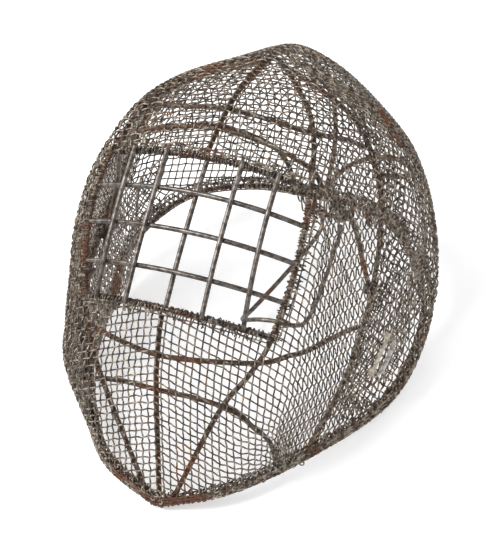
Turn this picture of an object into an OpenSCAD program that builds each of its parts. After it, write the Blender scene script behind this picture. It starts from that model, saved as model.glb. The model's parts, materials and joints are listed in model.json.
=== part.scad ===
// Wire goalie mask of the cage-and-cloth kind, lying face up on the hem of its head opening.
// +X is the wearer's left, +Y runs from the chin to the back of the head, +Z is up.
// Origin: the middle of the bounding box, on the plane that the hem stands on.

/* [Overall] */
// Width over the ears
mask_w = 238; // [228:1:248]
// Length from the chin to the back of the head
mask_l = 313; // [302:1:324]
// Height from the opening to the forehead
mask_h = 195; // [188:1:202]

/* [Frame wires] */
// Diameter of the ribs, the hoops and the hem wire
rib_d = 3.4; // [3:0.1:3.6]
// Diameter of the bars in the window
bar_d = 3.2; // [2.8:0.1:3.4]
// Distance between neighbouring upright bars
bar_pitch = 25.4; // [23:0.1:26]
// Distance from the middle to the outermost upright bars
bar_edge = 49; // [46:0.5:51]

/* [Wire cloth] */
// Thickness of the woven wire cloth
cloth_t = 1; // [0.8:0.1:1.2]
// Width of the folded hem round the opening
hem_w = 10; // [8:0.5:12]
// Width of the folded hem round the window
window_hem_w = 5; // [4:0.5:7]

/* [Strap loops] */
// Height of the loops above the cloth
loop_h = 8; // [7.5:0.5:10]
// Diameter of the loop wire
loop_d = 3; // [2.6:0.1:3.2]
// Diameter of the pads under the loop feet
pad_d = 9; // [7:0.5:10]

/* [Neck tongue] */
// Diameter of the tongue wire
tongue_d = 3.2; // [2.8:0.1:3.4]
// Diameter of the hinge pin
pin_d = 3.4; // [3:0.1:3.6]
// Radial clearance of the eyes on the pin
pin_gap = 0.06; // [0.04:0.01:0.1]
// Distance between the two eyes
eye_pitch = 14; // [12:0.5:16]

/* [Hidden] */

$fa = 2;
$fs = 0.4;
WIRE_SIDES = 10;
X = [1, 0, 0];

// The shell is lofted over ten lines that run from the hem (row 0) to the crown (row 7):
// line 0 is the middle of the face, 1 the window's edge, 3 the side, 9 the middle of the
// back. Rows 3 and 5 are the window's bottom and top. They are drawn for a mask of SHAPE.
SHAPE = [238, 313, 195];
CROWN = [0, 250, 180];
LINES = [
    [[0, 0, 0], [0, 24, 79], [0, 34, 102], [0, 52, 128],
     [0, 93, 157], [0, 136, 182], [0, 188, 192], CROWN],
    [[9, 1, 2], [41, 28, 71], [57, 48, 91], [66, 66, 107],
     [73, 98, 142], [70, 137, 170], [51, 188, 185], CROWN],
    [[45, 16, 9], [72, 38, 64], [81, 61, 81], [85, 82, 99],
     [86, 117, 130], [79, 157, 153], [60, 204, 174], CROWN],
    [[80, 60, 6], [97, 94, 44], [101, 122, 66], [101, 144, 80],
     [97, 175, 100], [89, 200, 127], [65, 220, 163], CROWN],
    [[110, 118, 1], [113, 152, 26], [114, 172, 45], [112, 185, 67],
     [106, 204, 94], [95, 222, 121], [64, 235, 155], CROWN],
    [[116, 168, 1], [118, 190, 18], [118, 200, 38], [114, 211, 62],
     [105, 227, 91], [92, 239, 118], [60, 247, 150], CROWN],
    [[112, 206, 19], [115, 212, 32], [115, 219, 47], [111, 230, 67],
     [102, 242, 90], [85, 254, 115], [53, 259, 147], CROWN],
    [[84, 241, 36], [90, 245, 45], [92, 250, 54], [91, 257, 68],
     [86, 266, 86], [73, 272, 110], [39, 273, 146], CROWN],
    [[45, 267, 33], [46, 274, 40], [47, 283, 50], [46, 292, 62],
     [44, 298, 80], [38, 299, 109], [20, 285, 148], CROWN],
    [[0, 270, 32], [0, 281, 37], [0, 292, 47], [0, 302, 60],
     [0, 309, 79], [0, 309, 108], [0, 290, 150], CROWN]
];
LAST_LINE = len(LINES) - 1;
TOP_ROW = len(LINES[0]) - 1;
WINDOW_LOW = 3;
WINDOW_HIGH = 5;
CROWN_ROW = 6.9;

// Moves the lofted shape onto the origin
CHIN_Y = -154.8;
FLOOR_Z = 1.75;

// Depths below the middle of the cloth
FIT = 0.15;
rib_depth = (cloth_t + rib_d) / 2 + FIT;
hoop_depth = rib_depth + rib_d + FIT;
hem_depth = rib_depth + FIT;
band_depth = -cloth_t - 3 * FIT;
cage_lift = bar_d + FIT;

// Tongue, as the shape is drawn: hinge, and the wire's route from eye to eye
HINGE = [20, 262, 24];
EYE_W = 4;
PIN_L = 36;
LUG_INSET = 3;
TONGUE_ROUTE = [
    [13, 259.5, 21], [12.5, 256, 14], [9, 238, 11], [3, 205, 11], [-4, 168, 13],
    [-5, 155, 17], [1, 150, 22], [10, 149, 26], [22, 150, 27], [32, 153, 23],
    [37.5, 162, 17], [37, 180, 13], [33, 212, 11], [28.5, 240, 11], [27.5, 256, 14],
    [27, 259.5, 21]
];

// Strap loop feet, [line, row] on the shell
LOOP_FEET = [[3.48, 1.64], [3.38, 0.97]];

// --- the shell's surface ---

function unit(a) = a / norm(a);
function mirrored(p) = [-p.x, p.y, p.z];

function spline(a, b, c, d, t) =
    0.5 * (2 * b + (c - a) * t + (2 * a - 5 * b + 4 * c - d) * t * t
    + (3 * b - a - 3 * c + d) * t * t * t);

function along_line(rows, v) =
    let (i = min(floor(v), TOP_ROW - 1), b = rows[i], c = rows[i + 1])
    spline(i > 0 ? rows[i - 1] : 2 * b - c, b, c,
           i + 2 <= TOP_ROW ? rows[i + 2] : 2 * c - b, v - i);

function line_point(k, v) =
    k < 0 ? mirrored(along_line(LINES[-k], v))
    : k > LAST_LINE ? mirrored(along_line(LINES[2 * LAST_LINE - k], v))
    : along_line(LINES[k], v);

function loft(u, v) =
    u < 0 ? mirrored(loft(-u, v))
    : let (i = min(floor(u), LAST_LINE - 1))
    spline(line_point(i - 1, v), line_point(i, v), line_point(i + 1, v),
           line_point(i + 2, v), u - i);

// Drawn coordinates to the part's own frame
function place(p) = [
    p.x * mask_w / SHAPE.x,
    (p.y + CHIN_Y) * mask_l / SHAPE.y,
    (p.z + FLOOR_Z) * mask_h / SHAPE.z
];

function skin(u, v) = place(loft(u, v));

function outward(u, v) =
    let (e = 0.04, low = max(v - e, 0), high = min(v + e, TOP_ROW), a = min(u + e, LAST_LINE))
    unit(cross(skin(a, v) - skin(a - 2 * e, v), skin(u, high) - skin(u, low)));

function inset(u, v, depth) = skin(u, v) - depth * outward(u, v);

// Row that lies mm above row v on line u
function row_above(u, v, mm) =
    v + mm / norm(skin(u, min(v + 0.5, TOP_ROW)) - skin(u, max(v - 0.5, 0)))
    * (min(v + 0.5, TOP_ROW) - max(v - 0.5, 0));

// --- routes over the shell: lists of [point, side direction] ---

// From a to b in n steps, each [line, row, depth]
function leg(a, b, n) =
    [for (i = [0 : n]) let (q = a + (b - a) * i / n) [inset(q[0], q[1], q[2]), outward(q[0], q[1])]];

// A smooth route through [line, row] stops at one depth, n steps between stops
function route(stops, depth, n) =
    let (last = len(stops) - 1)
    [for (i = [0 : last - 1], s = [0 : n - (i < last - 1 ? 1 : 0)])
        let (a = stops[max(i - 1, 0)], b = stops[i], c = stops[i + 1],
             d = stops[min(i + 2, last)], q = spline(a, b, c, d, s / n))
        [inset(q[0], q[1], depth), outward(q[0], q[1])]];

// The same route carried on over the middle to the other side of the mask
function both_sides(stops) =
    concat([for (i = [len(stops) - 1 : -1 : 1]) [-stops[i][0], stops[i][1]]], stops);

function other_side(stops) = [for (s = stops) [-s[0], s[1]]];

// --- solids ---

// Round wire swept along a route
module wire(path, d, closed = false) {
    n = len(path);
    points = [for (i = [0 : n - 1])
        let (before = path[closed ? (i + n - 1) % n : max(i - 1, 0)][0],
             after = path[closed ? (i + 1) % n : min(i + 1, n - 1)][0],
             t = unit(after - before), side = path[i][1],
             a = unit(side - t * (side * t)), b = cross(t, a))
        for (k = [0 : WIRE_SIDES - 1])
            path[i][0] + d / 2 * (cos(k * 360 / WIRE_SIDES) * a + sin(k * 360 / WIRE_SIDES) * b)];
    rings = closed ? n : n - 1;
    walls = [for (i = [0 : rings - 1], k = [0 : WIRE_SIDES - 1])
        let (p = i * WIRE_SIDES + k, q = i * WIRE_SIDES + (k + 1) % WIRE_SIDES,
             r = (i + 1) % n * WIRE_SIDES + k, s = (i + 1) % n * WIRE_SIDES + (k + 1) % WIRE_SIDES)
        each [[p, r, s], [p, s, q]]];
    start = [for (k = [0 : WIRE_SIDES - 1]) k];
    end = [for (k = [WIRE_SIDES - 1 : -1 : 0]) (n - 1) * WIRE_SIDES + k];
    polyhedron(points, closed ? walls : concat(walls, [start, end]));
}

// Cloth over the lines u[0] to u[1]; each edge is [row, mm above it]
module cloth(u, low, high, nu, nv, depth = 0, bulge = 0) {
    function at(i, j, face) =
        let (s = u[0] + (u[1] - u[0]) * i / nu,
             a = row_above(s, low[0], low[1]), b = row_above(s, high[0], high[1]),
             v = a + (b - a) * j / nv,
             deep = depth + bulge * sin(180 * i / nu) * sin(150 * (1 - j / nv)))
        inset(s, v, deep + face * cloth_t / 2);
    row = nv + 1;
    sheet = (nu + 1) * row;
    points = [for (face = [-1, 1], i = [0 : nu], j = [0 : nv]) at(i, j, face)];
    faces = [for (i = [0 : nu - 1], j = [0 : nv - 1])
        let (p = i * row + j, q = p + row)
        each [[p, p + 1, q + 1], [p, q + 1, q],
              [sheet + p, sheet + q + 1, sheet + p + 1], [sheet + p, sheet + q, sheet + q + 1]]];
    sides_v = [for (j = [0 : nv - 1])
        let (p = j, q = nu * row + j)
        each [[p, sheet + p, sheet + p + 1], [p, sheet + p + 1, p + 1],
              [q, sheet + q + 1, sheet + q], [q, q + 1, sheet + q + 1]]];
    sides_u = [for (i = [0 : nu - 1])
        let (p = i * row, q = i * row + nv)
        each [[p, p + row, sheet + p + row], [p, sheet + p + row, sheet + p],
              [q, sheet + q + row, q + row], [q, sheet + q, sheet + q + row]]];
    polyhedron(points, concat(faces, sides_v, sides_u));
}

// Round rod bent through three points
module arc_rod(a, m, b, d) {
    ab = m - a;
    ac = b - a;
    n = cross(ab, ac);
    centre = a + (cross(n, ab) * (ac * ac) + cross(ac, n) * (ab * ab)) / (2 * (n * n));
    r = norm(a - centre);
    x = (a - centre) / r;
    z = unit(n);
    y = cross(z, x);
    sweep = atan2((b - centre) * y, (b - centre) * x);
    translate(centre)
        rotate([atan2(y.z, z.z), asin(-x.z), atan2(x.y, x.x)])
            rotate_extrude(angle = sweep)
                translate([r, 0])
                    circle(d = d);
}

// Round straight rod from a to b, or a disc when it is short
module rod(a, b, d) {
    t = b - a;
    translate(a)
        rotate([0, acos(t.z / norm(t)), atan2(t.y, t.x)])
            cylinder(d = d, h = norm(t));
}

// --- the window cage: rows are arcs from side to side ---

function row_arc(v) =
    let (edge = inset(1, v, rib_depth), top = inset(0, v, rib_depth),
         rise = [0, top.y - edge.y, top.z - edge.z], s = norm(rise),
         r = (edge.x * edge.x + s * s) / (2 * s), e = rise / s)
    [top - r * e, r, e];

function cage(x, v) =
    let (arc = row_arc(v))
    arc[0] + x * X + sqrt(arc[1] * arc[1] - x * x) * arc[2];

function cage_out(x, v) =
    unit(cross(cage(x + 1, v) - cage(x - 1, v), cage(x, v + 0.1) - cage(x, v - 0.1)));

module row_rod(v, end_gap, d) {
    reach = inset(1, v, rib_depth).x - end_gap;
    arc_rod(cage(reach, v), cage(0, v), cage(-reach, v), d);
}

module upright(x, lift) {
    lap = 0.02;
    arc_rod(cage(x, WINDOW_LOW - lap) + lift * cage_out(x, WINDOW_LOW),
            cage(x, 4) + lift * cage_out(x, 4),
            cage(x, WINDOW_HIGH + lap) + lift * cage_out(x, WINDOW_HIGH), bar_d);
}

// Steps from hem to crown in the cloth on both sides of the rear ribs
SIDE_STEPS = 28;

// --- the frame ---

module hem_wire() {
    steps = 72;
    color("DimGray")
        wire([for (i = [0 : steps - 1])
            let (u = -LAST_LINE + 2 * LAST_LINE * i / steps)
            [inset(u, 0, hem_depth), outward(u, 0)]], rib_d, closed = true);
}

// From the hem wire up line u to row v
function rib(u, v, n) = leg([u, row_above(u, 0, rib_d), rib_depth], [u, v, rib_depth], n);

module centre_rib_lower() {
    color("DimGray") wire(rib(0, WINDOW_LOW - 0.1, 14), rib_d);
}

// Over the head in one piece, from the window to the rear hem
module crown_rib() {
    rear_line = 8.75;
    rear_depth = rib_depth + 3 * FIT;
    color("DimGray")
        wire(concat(leg([0, WINDOW_HIGH + 0.08, rib_depth], [0, CROWN_ROW, rear_depth], 11),
                    leg([rear_line, CROWN_ROW, rear_depth],
                        [rear_line, row_above(rear_line, 0, rib_d), rear_depth], 17)), rib_d);
}

module window_rib(side) {
    color("DimGray") wire(rib(side, 6.86, 30), rib_d);
}

// Dips under the crown rib at its upper end; its steps are those of the cloth beside it
module rear_rib(side) {
    u = 3 * side;
    straight_steps = 24;
    dip = CROWN_ROW * straight_steps / SIDE_STEPS;
    dip_leg = leg([u, dip, rib_depth], [u, 6.94, hoop_depth], 6);
    color("DimGray")
        wire(concat(rib(u, dip, straight_steps), [for (i = [1 : 6]) dip_leg[i]]), rib_d);
}

BROW_UPPER = [[0, 5.8], [1.1, 5.8], [1.9, 5.73], [2.5, 5.67], [3, 5.53]];
BROW_LOWER = [[0, 5.47], [0.7, 5.4], [1.4, 5.13], [2, 4.93], [2.5, 4.47], [2.8, 3.67], [3, 3.2]];
CHEEK = [[0, 2], [0.5, 2.07], [1, 2.25], [1.5, 2.62], [2.3, 2.47], [3, 2.1]];
CHIN = [[0, 1], [0.7, 1.05], [1.3, 1], [1.7, 0.87], [2.1, 0.67], [2.4, 0.4], [2.6, 0.12]];
BRACE = [[8.75, 0.35], [8.5, 1.8], [8, 2.9], [7.3, 3.87], [6.6, 4.1], [4.5, 4.73], [3.1, 5.1]];

module hoop(stops, n) {
    color("DimGray") wire(route(both_sides(stops), hoop_depth, n), rib_d);
}

module rear_brace(stops) {
    color("DimGray") wire(route(stops, hoop_depth, 4), rib_d);
}

// --- the window ---

module window_rail(v) {
    color("Gray") row_rod(v, rib_d / 2, bar_d);
}

module cross_bar(k) {
    v = WINDOW_LOW + k * (WINDOW_HIGH - WINDOW_LOW) / 4;
    color("Silver") row_rod(v, rib_d / 2, bar_d);
}

// Bars 1, 2, 4 and 5 lie outside the cross bars and the middle one inside them
module upright_bar(k) {
    x = [-bar_edge, -bar_pitch, 0, bar_pitch, bar_edge][k - 1];
    color("Silver") upright(x, k == 3 ? -cage_lift : cage_lift);
}

// --- the cloth ---

SEAM = 0.012;
REAR_SEAM = 5.5;
RAIL_EDGE = 3.4;

module chin_cloth() {
    color("DarkGray")
        cloth([-1 + SEAM, 1 - SEAM], [0, 0], [WINDOW_LOW, -RAIL_EDGE], 16, 13);
}

module crown_cloth() {
    color("DarkGray")
        cloth([-1 + SEAM, 1 - SEAM], [WINDOW_HIGH, RAIL_EDGE], [CROWN_ROW, 0], 12, 10);
}

module side_cloth(side) {
    color("DarkGray")
        cloth(side > 0 ? [1 + SEAM, 3 - SEAM] : [-3 + SEAM, -1 - SEAM], [0, 0], [CROWN_ROW, 0],
              8, SIDE_STEPS);
}

module temple_cloth(side) {
    color("DarkGray")
        cloth(side > 0 ? [3 + SEAM, REAR_SEAM - SEAM] : [-REAR_SEAM + SEAM, -3 - SEAM],
              [0, 0], [CROWN_ROW, 0], 10, SIDE_STEPS);
}

module rear_cloth(side) {
    color("DarkGray")
        cloth(side > 0 ? [REAR_SEAM + SEAM, 9 - SEAM] : [-9 + SEAM, -REAR_SEAM - SEAM],
              [0, 0], [CROWN_ROW, 0], 14, 20);
}

// Second layer of cloth inside each ear
module ear_cloth(side) {
    ear_depth = hoop_depth + 0.5;
    ear_bulge = 7;
    color("Gray")
        cloth(side > 0 ? [3.12, 6.4] : [-6.4, -3.12], [0, 4], [3, 0], 10, 10, ear_depth, ear_bulge);
}

module hem_band(side) {
    color("SaddleBrown")
        cloth(side > 0 ? [SEAM, 9 - SEAM] : [-9 + SEAM, -SEAM], [0, 0], [0, hem_w], 36, 2, band_depth);
}

module window_hem_side(side) {
    wide = window_hem_w / 32;
    color("RosyBrown")
        cloth(side > 0 ? [1 + SEAM, 1 + wide] : [-1 - wide, -1 - SEAM],
              [WINDOW_LOW, 1], [WINDOW_HIGH, -1], 1, 10, band_depth);
}

module window_hem_top() {
    color("RosyBrown")
        cloth([-1 + SEAM, 1 - SEAM], [WINDOW_HIGH, RAIL_EDGE],
              [WINDOW_HIGH, RAIL_EDGE + window_hem_w], 16, 1, band_depth);
}

module window_hem_bottom() {
    color("SaddleBrown")
        cloth([-1 + SEAM, 1 - SEAM], [WINDOW_LOW, -RAIL_EDGE - window_hem_w],
              [WINDOW_LOW, -RAIL_EDGE], 16, 1, band_depth);
}

// --- fittings ---

// Turns of thin wire that tie the lower brow hoop to the rear rib
module brow_lashing(side) {
    turns = 4;
    tie_d = 1.4;
    u = 3 * side;
    v = 3.1;
    middle = inset(u, v, (rib_depth + hoop_depth) / 2);
    t = unit(skin(u, v + 0.2) - skin(u, v - 0.2));
    r = (hoop_depth - rib_depth + rib_d + tie_d) / 2;
    color("Sienna")
        for (i = [0 : turns - 1])
            translate(middle + (i - (turns - 1) / 2) * tie_d * t)
                rotate([0, acos(t.z), atan2(t.y, t.x)])
                    rotate_extrude()
                        translate([r, 0])
                            circle(d = tie_d);
}

function loop_at(side, s) = LOOP_FEET[0] + (LOOP_FEET[1] - LOOP_FEET[0]) * s;

module strap_loop(side) {
    foot = -cloth_t / 2 - FIT - 1;
    profile = [[0, foot], [0, -0.5 * loop_h], [0.04, -0.82 * loop_h], [0.15, -loop_h],
               [0.5, -1.03 * loop_h], [0.85, -loop_h], [0.96, -0.82 * loop_h],
               [1, -0.5 * loop_h], [1, foot]];
    color("Silver")
        wire([for (p = profile)
            let (q = loop_at(side, p[0]))
            [inset(side * q[0], q[1], p[1]), unit(skin(side * q[0], q[1] + 0.2) - skin(side * q[0], q[1]))
             + outward(side * q[0], q[1])]], loop_d);
}

module strap_pads(side) {
    pad_t = 0.9;
    low = cloth_t / 2 + FIT;
    color("Tan")
        for (s = [0, 1]) {
            q = loop_at(side, s);
            rod(inset(side * q[0], q[1], -low), inset(side * q[0], q[1], -low - pad_t), pad_d);
        }
}

module hinge_pin() {
    middle = place(HINGE);
    color("DimGray") rod(middle - PIN_L / 2 * X, middle + PIN_L / 2 * X, pin_d);
}

// Short post from the hem wire to an end of the pin
module hinge_lug(side) {
    foot = place(HINGE) + side * (PIN_L / 2 - LUG_INSET) * X;
    u = 9 - foot.x / norm(skin(8, 0) - skin(9, 0));
    lug_d = 3;
    color("DimGray") rod(foot, inset(u, 0, hem_depth + 1), lug_d);
}

module tongue_wire() {
    color("Gray")
        wire([for (i = [0 : len(TONGUE_ROUTE) - 2], s = [0, 1, 2])
            let (last = len(TONGUE_ROUTE) - 1, a = TONGUE_ROUTE[max(i - 1, 0)],
                 d = TONGUE_ROUTE[min(i + 2, last)])
            [place(spline(a, TONGUE_ROUTE[i], TONGUE_ROUTE[i + 1], d, s / 3)), [0.3, 0.4, 1]]], tongue_d);
}

module tongue_eye(side) {
    middle = place(HINGE) + side * eye_pitch / 2 * X;
    wall = 1.8;
    color("Gray")
        difference() {
            rod(middle - EYE_W / 2 * X, middle + EYE_W / 2 * X, pin_d + 2 * wall);
            rod(middle - EYE_W * X, middle + EYE_W * X, pin_d + 2 * pin_gap);
        }
}

hem_wire();
centre_rib_lower();
crown_rib();
window_rib(1);  // window_rib_left
window_rib(-1);  // window_rib_right
rear_rib(1);  // rear_rib_left
rear_rib(-1);  // rear_rib_right
hoop(BROW_UPPER, 4);  // brow_hoop_upper
hoop(BROW_LOWER, 3);  // brow_hoop_lower
hoop(CHEEK, 4);  // cheek_hoop
hoop(CHIN, 3);  // chin_hoop
rear_brace(BRACE);  // rear_brace_left
rear_brace(other_side(BRACE));  // rear_brace_right
window_rail(WINDOW_HIGH);  // window_rail_top
window_rail(WINDOW_LOW);  // window_rail_bottom
upright_bar(1);  // upright_1
upright_bar(2);  // upright_2
upright_bar(3);  // upright_3
upright_bar(4);  // upright_4
upright_bar(5);  // upright_5
cross_bar(3);  // cross_bar_1
cross_bar(2);  // cross_bar_2
cross_bar(1);  // cross_bar_3
chin_cloth();
side_cloth(1);  // side_cloth_left
side_cloth(-1);  // side_cloth_right
crown_cloth();
temple_cloth(1);  // temple_cloth_left
temple_cloth(-1);  // temple_cloth_right
rear_cloth(1);  // rear_cloth_left
rear_cloth(-1);  // rear_cloth_right
ear_cloth(1);  // ear_cloth_left
ear_cloth(-1);  // ear_cloth_right
hem_band(1);  // hem_band_left
hem_band(-1);  // hem_band_right
window_hem_top();
window_hem_bottom();
window_hem_side(1);  // window_hem_left
window_hem_side(-1);  // window_hem_right
brow_lashing(1);  // brow_lashing_left
brow_lashing(-1);  // brow_lashing_right
strap_loop(1);  // strap_loop_left
strap_loop(-1);  // strap_loop_right
strap_pads(1);  // strap_pads_left
strap_pads(-1);  // strap_pads_right
hinge_pin();
hinge_lug(1);  // hinge_lug_left
hinge_lug(-1);  // hinge_lug_right
tongue_wire();
tongue_eye(1);  // tongue_eye_left
tongue_eye(-1);  // tongue_eye_right
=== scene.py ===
"""Wire goalie mask: woven wire cloth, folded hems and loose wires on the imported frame.

Shapes are worked out in millimetres in the part's own frame and stored in metres.
"""
import json
import math

import bpy
import numpy as np
from mathutils import Matrix


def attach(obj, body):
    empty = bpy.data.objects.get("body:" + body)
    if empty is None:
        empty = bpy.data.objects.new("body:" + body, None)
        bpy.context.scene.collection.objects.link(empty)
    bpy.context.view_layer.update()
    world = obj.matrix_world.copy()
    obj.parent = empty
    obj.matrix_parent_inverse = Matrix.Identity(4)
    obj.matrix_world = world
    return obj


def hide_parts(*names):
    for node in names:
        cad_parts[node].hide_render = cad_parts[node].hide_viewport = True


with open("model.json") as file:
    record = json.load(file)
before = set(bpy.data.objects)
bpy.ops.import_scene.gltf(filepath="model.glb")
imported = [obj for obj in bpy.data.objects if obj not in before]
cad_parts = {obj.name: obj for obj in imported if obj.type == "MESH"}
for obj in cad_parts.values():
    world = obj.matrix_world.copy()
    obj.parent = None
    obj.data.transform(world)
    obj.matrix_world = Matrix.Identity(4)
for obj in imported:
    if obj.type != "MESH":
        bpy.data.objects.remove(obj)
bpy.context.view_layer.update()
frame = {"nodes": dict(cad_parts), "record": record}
MM = 0.001
rng = np.random.default_rng(1907)

# ---------------------------------------------------------------- the shell's surface

# The same ten lines that part.scad lofts: hem to crown, middle of the face to the back
CROWN = (0, 250, 180)
LINES = np.array([
    [(0, 0, 0), (0, 24, 79), (0, 34, 102), (0, 52, 128),
     (0, 93, 157), (0, 136, 182), (0, 188, 192), CROWN],
    [(9, 1, 2), (41, 28, 71), (57, 48, 91), (66, 66, 107),
     (73, 98, 142), (70, 137, 170), (51, 188, 185), CROWN],
    [(45, 16, 9), (72, 38, 64), (81, 61, 81), (85, 82, 99),
     (86, 117, 130), (79, 157, 153), (60, 204, 174), CROWN],
    [(80, 60, 6), (97, 94, 44), (101, 122, 66), (101, 144, 80),
     (97, 175, 100), (89, 200, 127), (65, 220, 163), CROWN],
    [(110, 118, 1), (113, 152, 26), (114, 172, 45), (112, 185, 67),
     (106, 204, 94), (95, 222, 121), (64, 235, 155), CROWN],
    [(116, 168, 1), (118, 190, 18), (118, 200, 38), (114, 211, 62),
     (105, 227, 91), (92, 239, 118), (60, 247, 150), CROWN],
    [(112, 206, 19), (115, 212, 32), (115, 219, 47), (111, 230, 67),
     (102, 242, 90), (85, 254, 115), (53, 259, 147), CROWN],
    [(84, 241, 36), (90, 245, 45), (92, 250, 54), (91, 257, 68),
     (86, 266, 86), (73, 272, 110), (39, 273, 146), CROWN],
    [(45, 267, 33), (46, 274, 40), (47, 283, 50), (46, 292, 62),
     (44, 298, 80), (38, 299, 109), (20, 285, 148), CROWN],
    [(0, 270, 32), (0, 281, 37), (0, 292, 47), (0, 302, 60),
     (0, 309, 79), (0, 309, 108), (0, 290, 150), CROWN],
], float) + (0, -154.8, 1.75)
LAST_LINE = len(LINES) - 1
TOP_ROW = LINES.shape[1] - 1
WINDOW_LOW, WINDOW_HIGH = 3, 5
RIB_R = 1.7
RIB_DEPTH = 2.35
HEM_DEPTH = 2.5
NEAR_CROWN = TOP_ROW - 0.03
TINY = 1e-9


def padded_line(k):
    """Line k with its ends carried on; past the middle lines it is a mirror image."""
    flip = k < 0 or k > LAST_LINE
    line = LINES[-k if k < 0 else 2 * LAST_LINE - k if k > LAST_LINE else k]
    line = line * (-1, 1, 1) if flip else line
    return np.vstack([2 * line[0] - line[1], line, 2 * line[-1] - line[-2]])


GRID = np.array([padded_line(k) for k in range(-1, LAST_LINE + 3)])


def spline_weights(t):
    """Weights of four neighbouring points in a Catmull-Rom curve."""
    return np.stack([(-t + 2 * t**2 - t**3) / 2, (2 - 5 * t**2 + 3 * t**3) / 2,
                     (t + 4 * t**2 - 3 * t**3) / 2, (t**3 - t**2) / 2], -1)


def loft(u, v):
    """Points on the shell at line u and row v. Lines below 0, or past the last one at the
    middle of the back, are on the wearer's right."""
    u, v = np.broadcast_arrays(np.asarray(u, float), np.asarray(v, float))
    a = np.nan_to_num(np.abs(u))
    past_back = a > LAST_LINE
    side = np.where((u < 0) != past_back, -1.0, 1.0)
    a = np.where(past_back, 2 * LAST_LINE - a, a)
    b = np.nan_to_num(v)
    i = np.clip(np.floor(a).astype(int), 0, LAST_LINE)
    j = np.clip(np.floor(b).astype(int), 0, TOP_ROW - 1)
    wu, wv = spline_weights(a - i), spline_weights(b - j)
    p = sum((wu[..., m] * wv[..., n])[..., None] * GRID[i + m, j + n]
            for m in range(4) for n in range(4))
    p[..., 0] *= side
    return p


def slopes(u, v, e=2e-3):
    """Points, and how they move with u and with v."""
    return (loft(u, v), (loft(u + e, v) - loft(u - e, v)) / (2 * e),
            (loft(u, v + e) - loft(u, v - e)) / (2 * e))


def unit(a):
    return a / np.maximum(np.linalg.norm(a, axis=-1, keepdims=True), TINY)


def shell_frame(u, v):
    """Point, direction along the rows, direction up the lines, outward normal."""
    _, du, dv = slopes(u, np.minimum(v, NEAR_CROWN))
    return loft(u, v), unit(du), unit(dv), unit(np.cross(du, dv))


def shell_frame_at(u, v):
    """shell_frame at one place."""
    return (a[0] for a in shell_frame(np.array([u]), np.array([float(v)])))


# ---------------------------------------------------------------- weaving

PITCH = 5.08
WIRE_R = 0.55
CRIMP = 0.6
CLOTH_LIFT = 0.35
# The rows that the first wires may cross, that the search may try and that are kept
FIRST_WIRE_ROWS = (-0.5, TOP_ROW - 0.05)
SEARCH_ROWS = (-0.6, 6.98)
KEPT_ROWS = (-0.55, 6.985)
FURTHEST_LINE = 18.9
PITCH_ERROR = 0.1
THINNEST_DIAMOND = 0.16
SHORTEST_DIAGONAL = 0.35


def nearest(u, v, target, rounds):
    """Moves (u, v) to the shell point nearest the target."""
    longest = 0.5
    for _ in range(rounds):
        p, a, b = slopes(u, v)
        r = target - p
        aa, bb, ab = (a * a).sum(-1), (b * b).sum(-1), (a * b).sum(-1)
        ra, rb = (r * a).sum(-1), (r * b).sum(-1)
        det = aa * bb - ab * ab + TINY
        u = u + np.clip((ra * bb - rb * ab) / det, -longest, longest)
        v = v + np.clip((rb * aa - ra * ab) / det, -longest, longest)
    return u, v


def meet(u, v, a, b):
    """The shell point one pitch from both a and b, from a start near it."""
    rounds, longest, flattest = 6, 0.3, 1e-6
    for _ in range(rounds):
        q, du, dv = slopes(u, v)
        f, g = ((q - a)**2).sum(-1) - PITCH**2, ((q - b)**2).sum(-1) - PITCH**2
        fu, fv = 2 * ((q - a) * du).sum(-1), 2 * ((q - a) * dv).sum(-1)
        gu, gv = 2 * ((q - b) * du).sum(-1), 2 * ((q - b) * dv).sum(-1)
        det = fu * gv - fv * gu
        det = np.where(np.abs(det) < flattest, flattest, det)
        u = u - np.clip((f * gv - g * fv) / det, -longest, longest)
        v = v - np.clip((fu * g - gu * f) / det, -longest, longest)
    return u, v


def straight_ahead(u, v, heading, count):
    """Steps of one pitch along the shell, as straight as a wire can lie."""
    stops, p, heading = [(u, v)], loft(u, v), unit(np.array(heading, float))
    for _ in range(count):
        nu, nv = nearest(np.array(u), np.array(v), p + heading * PITCH, 5)
        q = loft(nu, nv)
        heading, p, u, v = unit(q - p), q, float(nu), float(nv)
        if not FIRST_WIRE_ROWS[0] < v < FIRST_WIRE_ROWS[1]:
            break
        stops.append((u, v))
    return stops


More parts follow.
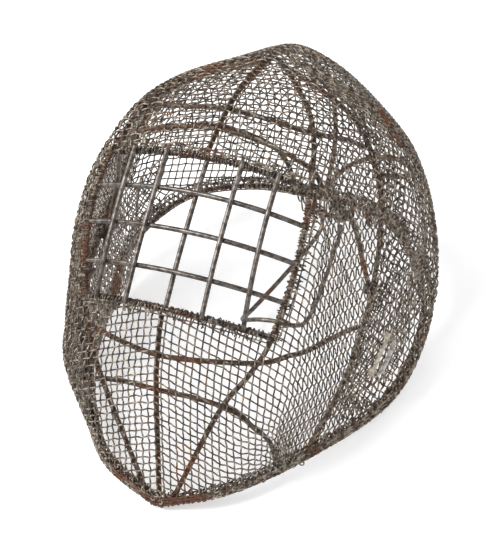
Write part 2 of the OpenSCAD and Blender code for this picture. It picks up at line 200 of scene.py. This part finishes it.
def quarter(across, along):
    """Crossings of one quarter of a net, worked outwards from its two first wires."""
    n, m = len(across), len(along)
    u, v = np.full((n, m), np.nan), np.full((n, m), np.nan)
    u[:, 0], v[:, 0] = np.array(across).T
    u[0, :], v[0, :] = np.array(along).T
    for s in range(2, n + m - 1):
        i = np.arange(max(1, s - m + 1), min(n - 1, s - 1) + 1)
        j = s - i
        known = np.isfinite(u[i - 1, j] + u[i, j - 1] + u[i - 1, j - 1])
        i, j = i[known], j[known]
        if not len(i):
            continue
        a, b = loft(u[i - 1, j], v[i - 1, j]), loft(u[i, j - 1], v[i, j - 1])
        c = loft(u[i - 1, j - 1], v[i - 1, j - 1])
        first_u = u[i - 1, j] + u[i, j - 1] - u[i - 1, j - 1]
        first_v = np.clip(v[i - 1, j] + v[i, j - 1] - v[i - 1, j - 1], *SEARCH_ROWS)
        nu, nv = nearest(first_u, first_v, a + b - c, 3)
        nu, nv = meet(nu, np.clip(nv, *SEARCH_ROWS), a, b)
        q = loft(nu, nv)
        off = (abs(np.linalg.norm(q - a, axis=-1) - PITCH)
               + abs(np.linalg.norm(q - b, axis=-1) - PITCH))
        area = np.linalg.norm(np.cross(q - a, q - b), axis=-1)
        diagonal = np.linalg.norm(q - c, axis=-1)
        good = ((off < PITCH_ERROR) & (area > THINNEST_DIAMOND * PITCH**2)
                & (diagonal > SHORTEST_DIAGONAL * PITCH)
                & (nv > KEPT_ROWS[0]) & (nv < KEPT_ROWS[1]) & (nu < FURTHEST_LINE))
        u[i[good], j[good]], v[i[good], j[good]] = nu[good], nv[good]
    return u, v


def net(u, v, right, left, up, down, reach=75):
    """Crossings of a net whose first two wires leave (u, v) in these four directions."""
    right, left, up, down = (straight_ahead(u, v, way, reach) for way in (right, left, up, down))
    right_up, left_up, right_down, left_down = (
        np.stack(quarter(side, way))
        for side, way in ((right, up), (left, up), (right, down), (left, down)))
    upper = np.concatenate([left_up[:, :0:-1], right_up], 1)
    lower = np.concatenate([left_down[:, :0:-1], right_down], 1)
    return np.concatenate([lower[:, :, :0:-1], upper], 2)


def bias_net(u, v, turn):
    """A net that starts turned by some degrees from the rows."""
    _, back, up, _ = shell_frame(u, v)
    up = unit(up - back * (up @ back))
    a = math.radians(turn)
    first, second = math.cos(a) * back + math.sin(a) * up, math.cos(a) * up - math.sin(a) * back
    return net(u, v, first, -first, second, -second)


def mirrored(strands):
    """The strands and their mirror images on the other side."""
    flipped = [tuple(a * (-1, 1, 1) if getattr(a, "ndim", 0) == 2 else a for a in strand)
               for strand in strands]
    return strands + flipped


def runs(keep):
    """First and past-the-last index of each unbroken run of true values."""
    edges = np.flatnonzero(np.diff(np.concatenate([[0], keep.astype(int), [0]])))
    return [(a, b) for a, b in zip(edges[::2], edges[1::2]) if b - a > 1]


def weave(nu, nv, inside, depth=None, cuts=3, wobble=0.17):
    """Strands (points, normals) of both families of wires, kept where inside(u, v)."""
    strands = []
    n, m = nu.shape
    jitter = rng.normal(0, wobble, (n, m, 2))
    both = ((nu, nv, jitter), (nu.T, nv.T, jitter.transpose(1, 0, 2)))
    for family, (gu, gv, gj) in enumerate(both):
        for k in range(gu.shape[0]):
            known = np.isfinite(gu[k])
            if known.sum() < 2:
                continue
            index = np.arange(gu.shape[1])
            t = np.arange(0, (gu.shape[1] - 1) * cuts + 1) / cuts
            u = np.interp(t, index[known], gu[k][known])
            v = np.interp(t, index[known], gv[k][known])
            near = np.floor(t).astype(int)
            after = np.minimum(near + 1, gu.shape[1] - 1)
            keep = known[near] & known[after] & inside(u, v)
            if keep.sum() < 2:
                continue
            p, du, dv, out = shell_frame(u, v)
            w = (t - near)[:, None]
            move = gj[k][near] * (1 - w) + gj[k][after] * w
            turn = 1 if (k + family) % 2 else -1
            wave = turn * CRIMP * np.cos(math.pi * t)
            sink = 0 if depth is None else depth(u, v)
            p = (p + out * (CLOTH_LIFT + wave - sink)[:, None]
                 + du * move[:, :1] + dv * move[:, 1:])
            strands += [(p[a:b], out[a:b]) for a, b in runs(keep)]
    return strands


# ---------------------------------------------------------------- meshes from wires


def add_piece(mesh, material):
    mesh.validate()
    mesh.materials.append(material)
    piece = bpy.data.objects.new(mesh.name, mesh)
    bpy.context.collection.objects.link(piece)
    return piece


def ring_axes(path, side):
    """Two axes across the wire at each point; side is a list of normals or None."""
    t = unit(np.gradient(path, axis=0))
    if side is None:
        side = np.empty_like(t)
        a = np.cross(t[0], (0.3, 0.5, 0.8))
        for k in range(len(t)):
            a = unit(a - t[k] * (a @ t[k]))
            side[k] = a
    a = unit(side - t * (side * t).sum(-1, keepdims=True))
    return a, np.cross(t, a)


def wire_mesh(name, strands, radius, material, sides=5):
    """One object of closed round wires. A strand is (points, normals or None[, radius])."""
    angle = np.arange(sides) * 2 * math.pi / sides
    cos, sin = np.cos(angle)[:, None], np.sin(angle)[:, None]
    verts, quads, caps, base = [], [], [], 0
    for strand in strands:
        path, side = strand[0], strand[1]
        r = strand[2] if len(strand) > 2 else radius
        n = len(path)
        a, b = ring_axes(path, side)
        ring = path[:, None] + r * (cos * a[:, None] + sin * b[:, None])
        verts.append(ring.reshape(-1, 3))
        i = base + np.arange(n - 1)[:, None] * sides
        k = np.arange(sides)
        k2 = (k + 1) % sides
        quads.append(np.stack([i + k, i + k2, i + sides + k2, i + sides + k], -1).reshape(-1, 4))
        caps.append(base + k[::-1])
        caps.append(base + (n - 1) * sides + k)
        base += n * sides
    verts, quads, caps = np.vstack(verts) * MM, np.vstack(quads), np.array(caps)
    loops = np.concatenate([quads.ravel(), caps.ravel()])
    sizes = np.concatenate([np.full(len(quads), 4), np.full(len(caps), sides)])
    mesh = bpy.data.meshes.new(name)
    mesh.vertices.add(len(verts))
    mesh.vertices.foreach_set("co", verts.ravel())
    mesh.loops.add(len(loops))
    mesh.loops.foreach_set("vertex_index", loops)
    mesh.polygons.add(len(sizes))
    mesh.polygons.foreach_set("loop_start", np.concatenate([[0], np.cumsum(sizes)[:-1]]))
    mesh.polygons.foreach_set("loop_total", sizes)
    mesh.polygons.foreach_set("use_smooth", np.ones(len(sizes), bool))
    mesh.update(calc_edges=True)
    return add_piece(mesh, material)


def fine_curve(points, steps=5):
    """A smooth curve through a few points."""
    p = np.vstack([2 * points[0] - points[1], points, 2 * points[-1] - points[-2]])
    t = np.linspace(0, len(points) - 1, (len(points) - 1) * steps + 1)
    i = np.minimum(t.astype(int), len(points) - 2)
    w = spline_weights(t - i)
    return sum(w[:, m, None] * p[i + m] for m in range(4))


def length_along(path):
    """How far along the path each of its points is."""
    return np.concatenate([[0], np.cumsum(np.linalg.norm(np.diff(path, axis=0), axis=1))])


def sample(s, run, rows):
    """The rows' values at the lengths s."""
    return np.stack([np.interp(s, run, rows[:, k]) for k in range(3)], -1)


# ---------------------------------------------------------------- materials

GRIME_SCALE, RUST_TINT_SCALE, PIT_SCALE = 300, 700, 1400
PATCH_SCALE = 26
EDGE = 0.1
PIT_DEPTH = 0.0004
RUST_SHADE = 0.45
RUST_METALLIC = 0.1
CHIN_FROM, CHIN_TO = -0.105, -0.155


def new_material(name):
    material = bpy.data.materials.new(name)
    material.use_nodes = True
    tree = material.node_tree
    return material, tree, tree.nodes["Principled BSDF"]


def noise(tree, scale, detail=4.0, rough=0.6):
    coords = tree.nodes.new("ShaderNodeTexCoord")
    node = tree.nodes.new("ShaderNodeTexNoise")
    node.inputs["Scale"].default_value = scale
    node.inputs["Detail"].default_value = detail
    node.inputs["Roughness"].default_value = rough
    tree.links.new(coords.outputs["Object"], node.inputs["Vector"])
    return node.outputs["Fac"]


def ramp(tree, value, low, high):
    """0 below low, 1 above high, smooth between them."""
    node = tree.nodes.new("ShaderNodeMapRange")
    node.interpolation_type = "SMOOTHSTEP"
    node.inputs["From Min"].default_value = low
    node.inputs["From Max"].default_value = high
    tree.links.new(value, node.inputs["Value"])
    return node.outputs["Result"]


def mix(tree, amount, a, b):
    node = tree.nodes.new("ShaderNodeMix")
    node.data_type = "RGBA"
    tree.links.new(amount, node.inputs["Factor"])
    for socket, value in ((node.inputs["A"], a), (node.inputs["B"], b)):
        if isinstance(value, tuple):
            socket.default_value = (*value, 1)
        else:
            tree.links.new(value, socket)
    return node.outputs["Result"]


def more_at_chin(tree, value, extra):
    """The value, with up to extra added towards the chin."""
    coords, split = tree.nodes.new("ShaderNodeTexCoord"), tree.nodes.new("ShaderNodeSeparateXYZ")
    near, total = tree.nodes.new("ShaderNodeMapRange"), tree.nodes.new("ShaderNodeMath")
    tree.links.new(coords.outputs["Object"], split.inputs["Vector"])
    tree.links.new(split.outputs["Y"], near.inputs["Value"])
    for key, setting in (("From Min", CHIN_FROM), ("From Max", CHIN_TO), ("To Max", extra)):
        near.inputs[key].default_value = setting
    tree.links.new(near.outputs["Result"], total.inputs[0])
    tree.links.new(value, total.inputs[1])
    return total.outputs["Value"]


def old_wire(name, clean, dark, rust, rust_from, metallic=0.6, rough=(0.36, 0.75), bump=0.3,
             grime_at=0.5, rusty_front=0.0):
    """Tarnished steel wire: clean metal, dark grime, and rust where the noise is above
    rust_from. rough is the metal's and the rust's; rusty_front adds rust at the chin."""
    material, tree, shader = new_material(name)
    grime = ramp(tree, noise(tree, GRIME_SCALE, 5), grime_at - EDGE, grime_at + EDGE)
    height = noise(tree, PATCH_SCALE, 7, 0.7)
    if rusty_front:
        height = more_at_chin(tree, height, rusty_front)
    spots = ramp(tree, height, rust_from, rust_from + EDGE)
    tint = mix(tree, ramp(tree, noise(tree, RUST_TINT_SCALE, 3), 0.35, 0.65), rust,
               tuple(RUST_SHADE * c for c in rust))
    colour = mix(tree, spots, mix(tree, grime, clean, dark), tint)
    tree.links.new(colour, shader.inputs["Base Color"])
    for low, high, socket in ((*rough, "Roughness"), (metallic, RUST_METALLIC, "Metallic")):
        spread = tree.nodes.new("ShaderNodeMapRange")
        spread.inputs["To Min"].default_value = low
        spread.inputs["To Max"].default_value = high
        tree.links.new(spots, spread.inputs["Value"])
        tree.links.new(spread.outputs["Result"], shader.inputs[socket])
    relief = tree.nodes.new("ShaderNodeBump")
    relief.inputs["Strength"].default_value = bump
    relief.inputs["Distance"].default_value = PIT_DEPTH
    tree.links.new(noise(tree, PIT_SCALE, 4), relief.inputs["Height"])
    tree.links.new(relief.outputs["Normal"], shader.inputs["Normal"])
    return material


CLOTH = old_wire("woven_wire", (0.37, 0.31, 0.245), (0.068, 0.048, 0.033), (0.24, 0.1, 0.04),
                 0.565, grime_at=0.48)
INNER = old_wire("inner_woven_wire", (0.4, 0.355, 0.3), (0.1, 0.08, 0.062), (0.22, 0.1, 0.05),
                 0.54)
FOLD = old_wire("folded_wire", (0.32, 0.265, 0.2), (0.05, 0.036, 0.027), (0.155, 0.066, 0.034),
                0.53, 0.5, grime_at=0.46)
HEM = old_wire("opening_hem_wire", (0.38, 0.32, 0.25), (0.07, 0.052, 0.039),
               (0.165, 0.072, 0.038), 0.56, 0.5, grime_at=0.49, rusty_front=0.13)
RIB = old_wire("frame_wire", (0.19, 0.14, 0.1), (0.052, 0.035, 0.025), (0.2, 0.09, 0.046), 0.47,
               0.35, grime_at=0.47)
BAR = old_wire("window_bar", (0.175, 0.152, 0.134), (0.06, 0.048, 0.041), (0.13, 0.066, 0.04),
               0.6, 0.6, (0.32, 0.5), 0.25)
BRIGHT = old_wire("strap_loop_wire", (0.62, 0.59, 0.55), (0.33, 0.3, 0.27), (0.25, 0.16, 0.1),
                  0.68, 0.5, (0.3, 0.5), 0.1)
PLATE = old_wire("strap_plate", (0.8, 0.71, 0.58), (0.47, 0.4, 0.32), (0.3, 0.2, 0.13), 0.64,
                 0.0, (0.55, 0.8), 0.5, grime_at=0.46)
TIE = old_wire("tie_wire", (0.1, 0.08, 0.062), (0.03, 0.023, 0.019), (0.18, 0.07, 0.03), 0.52,
               0.4)
TONGUE = old_wire("tongue_wire", (0.2, 0.17, 0.145), (0.08, 0.063, 0.052), (0.22, 0.09, 0.04),
                  0.55, 0.5, (0.35, 0.65), 0.15)

NODE_MATERIALS = {
    "frame_wire": RIB, "window_bar": BAR, "tie_wire": TIE, "strap_loop": BRIGHT,
    "hinge_wire": RIB, "tongue_wire": TONGUE,
}
for part in frame["record"]["subparts"]:
    if part["material_slot"] in NODE_MATERIALS:
        slots = frame["nodes"][part["node"]].data.materials
        slots.clear()
        slots.append(NODE_MATERIALS[part["material_slot"]])


def mask_piece(piece, slot, *nodes):
    """A piece that rides on the mask and stands for these CAD nodes, if any."""
    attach(piece, "mask")
    if nodes:
        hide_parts(*nodes)


# ---------------------------------------------------------------- cloth

LAP = 0.1
CLOTH_TOP = 6.98
REAR_RIB_LINE = 3
DROOP = 0.2
EAR_DEPTH, EAR_BULGE = 6.4, 7.0
EAR_LOW, EAR_HIGH, EAR_FRONT, EAR_BACK = 0.12, 3.1, 3.05, 6.5


def in_window(u, v):
    return (abs(u) < 1) & (v > WINDOW_LOW) & (v < WINDOW_HIGH)


def in_rows(v):
    return (v >= 0) & (v < CLOTH_TOP)


def face_end(v):
    """The line where the face cloth ends: the rear rib, and further back near the hem."""
    return REAR_RIB_LINE + 0.95 * np.clip(1 - v / 0.9, 0, 1)


def temple_lap(v):
    """How far back the face cloth carries on under the side cloth at the temples."""
    return 0.8 * np.clip(np.minimum((v - 2.4) / 0.8, (TOP_ROW - v) / 2.2), 0, 1)


def lap_depth(u, v):
    """The lapped cloth lies just inside the side cloth."""
    sunk, behind_rib, under_lap = 2, (abs(u) - REAR_RIB_LINE) / 0.3, temple_lap(v) / 0.4
    return sunk * np.clip(behind_rib, 0, 1) * np.clip(under_lap, 0, 1)


def in_face(u, v):
    return in_rows(v) & (abs(u) < face_end(v) + LAP + temple_lap(v)) & ~in_window(u, v)


def back_start(v):
    """The line where the back cloth starts, which runs forward as it rises."""
    return np.maximum(7.44 - 0.62 * v, 5.6)


def in_side(u, v):
    return in_rows(v) & (u > face_end(v) - LAP) & (u < back_start(v) + LAP)


def in_back(u, v):
    return in_rows(v) & (abs(u - LAST_LINE) < LAST_LINE - back_start(v) + LAP)


def in_ear(u, v):
    return (v > EAR_LOW) & (v < EAR_HIGH) & (u > EAR_FRONT) & (u < EAR_BACK)


def ear_depth(u, v):
    """The second layer of cloth over the ear bulges inwards between its edges."""
    across, up = np.clip((u - 3.12) / 3.28, 0, 1), np.clip(v, 0, 3) / 3
    return EAR_DEPTH + EAR_BULGE * np.sin(math.pi * across) * np.sin(math.radians(150) * (1 - up))


right, up = np.array((1, -DROOP, -0.6 * DROOP)), np.array((0, 1, 0.8))
left = right * (-1, 1, 1)
face = weave(*net(0.0, 4.9, right, left, up, -up), in_face, lap_depth)
mask_piece(wire_mesh("face_weave", face, WIRE_R, CLOTH), "wire_cloth",
           "chin_cloth", "crown_cloth", "side_cloth_left", "side_cloth_right")
side = mirrored(weave(*bias_net(4.4, 1.6, 45), in_side))
mask_piece(wire_mesh("side_weave", side, WIRE_R, CLOTH), "wire_cloth",
           "temple_cloth_left", "temple_cloth_right")
back = weave(*bias_net(9.0, 3.0, 0), in_back)
mask_piece(wire_mesh("back_weave", back, WIRE_R, CLOTH), "wire_cloth",
           "rear_cloth_left", "rear_cloth_right")
ear = mirrored(weave(*bias_net(4.4, 1.5, 42), in_ear, ear_depth))
mask_piece(wire_mesh("ear_weave", ear, WIRE_R, INNER), "inner_cloth",
           "ear_cloth_left", "ear_cloth_right")

# ---------------------------------------------------------------- opening hem

FOLD_STEP = 3.7
FOLD_R = 0.5
FOLD_OUTSIDE, FOLD_INSIDE, FOLD_UNDER = 3.7, -2.6, 2.5
FLAT_SHARE = 0.35


def fold_point(u, w, rise):
    """A point of the folded hem at line u: w runs 0 to 1 from its outer edge, down round
    the hem wire and up to its inner edge, and rise is how high the two edges stand."""
    p, _, up, out = shell_frame(u, 0.0 * u)
    turn = np.clip((w - FLAT_SHARE) / (1 - 2 * FLAT_SHARE), 0, 1) * math.pi
    middle, half = (FOLD_OUTSIDE + FOLD_INSIDE) / 2, (FOLD_OUTSIDE - FOLD_INSIDE) / 2
    across = middle + half * np.cos(turn)
    height = np.where(w < FLAT_SHARE, (FLAT_SHARE - w) / FLAT_SHARE * rise[0],
                      np.where(w > 1 - FLAT_SHARE, (w + FLAT_SHARE - 1) / FLAT_SHARE * rise[1], 0))
    height = height - FOLD_UNDER * np.sin(turn)
    return p + (across - HEM_DEPTH)[:, None] * out + height[:, None] * up, out


def hem_fold():
    """Slanted wires that cross over the hem, and six wires that run along it."""
    turns = np.linspace(0, 2 * LAST_LINE, 3601)
    run = length_along(loft(turns, 0 * turns))
    strands = []
    w = np.linspace(0, 1, 15)
    for lean in (-1, 1):
        for s in np.arange(0, run[-1], FOLD_STEP):
            rise = rng.uniform(5.5, 9.5), rng.uniform(4, 8)
            spread = lean * rng.uniform(6.5, 9)
            at = (s + rng.normal(0, 0.5) + spread * (w - 0.5)) % run[-1]
            u = np.interp(at, run, turns)
            path, out = fold_point(u, w, rise)
            path = path + rng.normal(0, 0.13, path.shape)
            core = fold_point(u, 0.5 + 0 * w, rise)[0] + 2 * unit(out)
            path = path + (0.22 * lean * np.cos(w * 14) + 0.25)[:, None] * unit(path - core)
            strands.append((path, out))
    for at_w in (0.06, 0.17, 0.3, 0.5, 0.72, 0.9):
        s = np.arange(0, run[-1], 2.4)
        u = np.interp(s, run, turns)
        ripple = 0.012 * np.sin(s / 11 + at_w * 40) + rng.normal(0, 0.006, len(s))
        path, out = fold_point(u, at_w + ripple, (7.5, 6))
        facing = 1 if at_w < 0.5 else -1
        path = path + (0.5 * np.cos(s * math.pi / FOLD_STEP) + 0.2)[:, None] * out * facing
        strands.append((path, out))
    return strands


mask_piece(wire_mesh("opening_hem", hem_fold(), FOLD_R, HEM), "hem_fold",
           "hem_band_left", "hem_band_right")

# ---------------------------------------------------------------- window hems

HOOK_STEP, SPIKES = 2.3, 0.3
HOOK_R, BINDING_R = 0.45, 0.4
BINDING_GAP, BINDING_PITCH = 0.5, 3.3
RAIL_HALF = 63
BINDING_SLICES = 9
SPIKE_SHAPE = [(2.4, 2.75), (0.4, 2.6), (-1.4, 2.0), (-2.2, 0.9)]
HOOK_SHAPE = [(2.4, 2.75), (0.4, 2.6), (-1.5, 1.9), (-2.3, 0.5), (-1.8, -1.1), (-0.5, -2.1)]


def cage(x, v):
    """Centre line of a cage row at x: an arc over the two window ribs and the middle line."""
    p, _, _, out = shell_frame(np.array([0.0, 1.0]), np.array([v, v], float))
    top, edge = p - RIB_DEPTH * out
    rise = np.array([0, top[1] - edge[1], top[2] - edge[2]])
    s = np.linalg.norm(rise)
    r = (edge[0]**2 + s * s) / (2 * s)
    arc = np.sqrt(r * r - x * x)[:, None] * rise / s
    return (top - r * rise / s) + np.array([1, 0, 0]) * x[:, None] + arc


def hooks(centre, toward_cloth, out):
    """Cut ends of cloth wire bent over an edge wire, some left standing proud as spikes."""
    run = length_along(centre)
    strands = []
    for s in np.arange(HOOK_STEP, run[-1], HOOK_STEP):
        s = s + rng.normal(0, HOOK_STEP / 5)
        slant = rng.choice((-1, 1)) * rng.uniform(1, 2.6)
        if rng.random() < SPIKES:
            start = (rng.uniform(4, 7), 2.6)
            end = (-2.3 - rng.uniform(0.1, 0.9), rng.uniform(-0.6, 1.2))
            shape = np.array([start, *SPIKE_SHAPE, end])
        else:
            start = (rng.uniform(4, 7), 2.6)
            shape = np.array([start, *HOOK_SHAPE, (1, rng.uniform(-2.4, -1.9))])
        at = s + slant * (shape[:, 0] / 6)
        point, inward, normal = (sample(at, run, a) for a in (centre, toward_cloth, out))
        path = fine_curve(point + shape[:, :1] * inward + shape[:, 1:] * normal, 3)
        strands.append((path, None))
    return strands


def spiral(centre, a, b):
    """A thin wire wound round an edge wire."""
    run = length_along(centre)
    s = np.arange(0, run[-1], BINDING_PITCH / BINDING_SLICES)
    point, a, b = (sample(s, run, q) for q in (centre, a, b))
    turn = s / BINDING_PITCH * 2 * math.pi + 0.5 * np.sin(s / 9)
    r = (RIB_R + BINDING_GAP) * (1 + 0.06 * np.sin(s * 0.7))
    return point + (r * np.cos(turn))[:, None] * a + (r * np.sin(turn))[:, None] * b, None, BINDING_R


def window_rib_edge():
    v = np.linspace(WINDOW_LOW - 0.05, WINDOW_HIGH + 0.05, 60)
    p, back, _, out = shell_frame(1 + 0 * v, v)
    return p - RIB_DEPTH * out, back, out


def rail_edge(v, away):
    x = np.linspace(-RAIL_HALF, RAIL_HALF, 60)
    centre = cage(x, v)
    up = unit(cage(x, v + 0.1) - cage(x, v - 0.1))
    along = unit(np.gradient(centre, axis=0))
    return centre, up * away, unit(np.cross(along, up))


for hem, edge, nodes in (
        ("window_hem_sides", window_rib_edge(), ("window_hem_left", "window_hem_right")),
        ("window_hem_above", rail_edge(WINDOW_HIGH, 1), ("window_hem_top",)),
        ("window_hem_below", rail_edge(WINDOW_LOW, -1), ("window_hem_bottom",))):
    centre, toward_cloth, out = edge
    if out[len(out) // 2][1] > 0:
        out = -out
    strands = hooks(centre, toward_cloth, out)
    strands.append(spiral(centre, toward_cloth, out))
    for aside in (1.5, 3.8):
        path = centre + 2.9 * out + aside * toward_cloth
        path = path + 0.35 * np.sin(np.arange(len(path)) * 1.35 + aside)[:, None] * out
        strands.append((path + rng.normal(0, 0.1, path.shape), None))
    if len(nodes) == 2:
        strands = mirrored(strands)
    mask_piece(wire_mesh(hem, strands, HOOK_R, FOLD), "hem_fold", *nodes)

# ---------------------------------------------------------------- loose wires

FRINGE_FROM, FRINGE_TO, FRINGE_LOOPS = 9.15, 7.85, 27
FRINGE_R, CURL_R = 0.6, 0.5
CHIN_CURLS = (-0.9, -0.5, -0.2, 0.05, 0.2, 0.45, 0.9, 1.6)
STANDING_CURL = 2.87
JAW_CURLS = np.linspace(2.4, 3.4, 40)


def fringe():
    """Long loops of cut wire that hang from the rear of the hem on the wearer's left."""
    strands = []
    down = np.array([0, 0, -1.0])
    for u in np.linspace(FRINGE_FROM, FRINGE_TO, FRINGE_LOOPS):
        p, back, up, out = shell_frame_at(u + rng.normal(0, 0.03), 0)
        top = p - 0.5 * out + 2 * up
        drop, gap = rng.uniform(12, 21), rng.uniform(1.8, 3.4)
        lean = back * rng.normal(0, 2) + out * rng.normal(-1, 1.5)
        near_end = top + down * (drop - 1.5) + lean
        shape = [top, top + down * drop * 0.5 + lean * 0.4, near_end,
                 top + down * drop + lean + back * gap / 2, near_end + back * gap,
                 top + down * drop * rng.uniform(0.1, 0.5) + lean * 0.5 + back * (gap + 0.5)]
        strands.append((fine_curve(np.array(shape), 5), None))
    return strands


def curls():
    """Cut ends of cloth wire curled up on the hem, at the chin and in a heap at the jaw, and
    one loop that stands out from the jaw."""
    strands = []
    for u in (*CHIN_CURLS, STANDING_CURL, *JAW_CURLS):
        p, along, up, out = shell_frame_at(u, 0)
        turn = np.linspace(0, rng.uniform(1.2, 1.8) * math.pi, 12)[:, None]
        if u == STANDING_CURL:
            radius, stand, rise = 1.9, 1.0, 1.5
        else:
            radius, stand, rise = rng.uniform(1.3, 2.2), rng.uniform(0.1, 0.4), rng.uniform(1, 10)
        base = p + 1.1 * out + rise * up
        ring = (stand * (1 - np.cos(turn)) * out + np.sin(turn) * along
                + (1 - stand) * np.cos(turn) * up)
        strands.append((base + radius * ring + 0.3 * turn * along, None))
    return strands


mask_piece(wire_mesh("rear_fringe", fringe(), FRINGE_R, CLOTH), "tie_wire")
mask_piece(wire_mesh("hem_curls", curls(), CURL_R, INNER), "wire_cloth")

# ---------------------------------------------------------------- strap plates

LOOP_FEET = np.array([(3.48, 1.64), (3.38, 0.97)])
PLATE_LIFT = 2.0
PLATE_WIDE, PLATE_THICK = 4.4, 0.8
CLIP_WIDE, CLIP_THICK = 4.2, 0.7
CLIP = np.array([(-3.6, 1.2), (-3.2, 2.4), (-2.2, 3.5), (-1.1, 4.3), (0.2, 4.6), (1.4, 4.2),
                 (2.3, 3.2), (2.8, 2.3), (3.4, 1.2)])


def ribbon(path, across, face, wide, thick):
    """Corner rails of a flat strip with bevelled edges, eight to a section."""
    half, t = wide / 2, thick / 2
    low = t * 0.4
    ring = [(-half, -low), (-half, low), (-half + t, t), (half - t, t),
            (half, low), (half, -low), (half - t, -t), (-half + t, -t)]
    return np.stack([path + a * across + b * face for a, b in ring], 1)


def ribbon_mesh(name, ribbons, material):
    """One object of closed strips."""
    verts, faces = [], []
    for rings in ribbons:
        base, (n, m, _) = len(verts), rings.shape
        verts += [tuple(p) for p in (rings.reshape(-1, 3) * MM).tolist()]
        faces += [(base + i * m + k, base + (i + 1) * m + k, base + (i + 1) * m + (k + 1) % m,
                   base + i * m + (k + 1) % m) for i in range(n - 1) for k in range(m)]
        first, last = (tuple(base + i * m + k for k in range(m)) for i in (0, n - 1))
        faces += [first, last[::-1]]
    mesh = bpy.data.meshes.new(name)
    mesh.from_pydata(verts, [], faces)
    return add_piece(mesh, material)


def strap_plate():
    """A strip under the strap loop, and a folded clip over each of the loop's feet."""
    t = np.linspace(-0.06, 1.06, 24)
    stops = LOOP_FEET[0] + t[:, None] * (LOOP_FEET[1] - LOOP_FEET[0])
    p, _, _, out = shell_frame(stops[:, 0], stops[:, 1])
    along = unit(np.gradient(p, axis=0))
    across = unit(np.cross(out, along))
    lift = (PLATE_LIFT + 0.15 * np.sin(t * 9))[:, None]
    ribbons = [ribbon(p + lift * out, across, out, PLATE_WIDE, PLATE_THICK)]
    for end in (2, len(t) - 3):
        path = fine_curve(p[end] + CLIP[:, :1] * across[end] + CLIP[:, 1:] * out[end], 3)
        rise = unit(np.cross(along[end], np.gradient(path, axis=0)))
        ribbons.append(ribbon(path, along[end] + 0 * path, rise, CLIP_WIDE, CLIP_THICK))
    return ribbons


left_plate = strap_plate()
right_plate = [(rings * (-1, 1, 1))[:, ::-1] for rings in left_plate]
for side_name, plate in (("left", left_plate), ("right", right_plate)):
    mask_piece(ribbon_mesh("strap_plate_" + side_name, plate, PLATE), "strap_pad",
               "strap_pads_" + side_name)

# ---------------------------------------------------------------- stage

FLOOR = 30.0
FLOOR_Z = -0.002
FLOOR_COLOUR, FLOOR_GLOW = (0.76, 0.765, 0.78, 1), 0.48
SKY = 0.4
# Name, place, size and power
LIGHTS = (("key", (-0.7, -0.7, 1.6), 0.8, 30), ("fill", (1.4, 0.5, 1.1), 1.2, 9),
          ("left", (-1.5, 0.1, 0.8), 1.0, 13))
LENS = 143.96
EYE = (0.4779, -0.8195, 0.96055)
RIGHT, UP, BACK = (0.9109, 0.3937, -0.1237), (-0.1932, 0.6716, 0.7152), (0.3647, -0.6276, 0.6879)


def placed(right, up, back, place):
    """The matrix of a light or camera that looks along minus back."""
    rows = np.array([right, up, back]).T
    return Matrix([(*row, p) for row, p in zip(rows, place)] + [(0, 0, 0, 1)])


floor_mesh = bpy.data.meshes.new("floor")
floor_mesh.from_pydata([(-FLOOR, -FLOOR, FLOOR_Z), (FLOOR, -FLOOR, FLOOR_Z), (FLOOR, FLOOR, FLOOR_Z),
                        (-FLOOR, FLOOR, FLOOR_Z)], [], [(0, 1, 2, 3)])
floor = bpy.data.objects.new("floor", floor_mesh)
bpy.context.collection.objects.link(floor)
paper, _, shader = new_material("pale_floor")
shader.inputs["Base Color"].default_value = FLOOR_COLOUR
shader.inputs["Roughness"].default_value = 0.9
shader.inputs["Emission Color"].default_value = (1, 1, 1, 1)
shader.inputs["Emission Strength"].default_value = FLOOR_GLOW
floor_mesh.materials.append(paper)

world = bpy.data.worlds.new("studio")
world.use_nodes = True
world.node_tree.nodes["Background"].inputs["Color"].default_value = (1, 1, 1, 1)
world.node_tree.nodes["Background"].inputs["Strength"].default_value = SKY
bpy.context.scene.world = world
bpy.context.scene.view_settings.view_transform = "Standard"

for name, place, size, power in LIGHTS:
    lamp = bpy.data.lights.new(name, "AREA")
    lamp.size = size
    lamp.energy = power
    light = bpy.data.objects.new(name, lamp)
    away = unit(np.array(place, float))
    sideways = unit(np.cross((0, 0, 1), away))
    light.matrix_world = placed(sideways, np.cross(away, sideways), away, place)
    bpy.context.collection.objects.link(light)

camera_data = bpy.data.cameras.new("camera")
camera_data.sensor_fit = "HORIZONTAL"
camera_data.sensor_width = 36
camera_data.lens = LENS
camera = bpy.data.objects.new("camera", camera_data)
camera.matrix_world = placed(RIGHT, UP, BACK, EYE)
bpy.context.collection.objects.link(camera)
bpy.context.scene.camera = camera
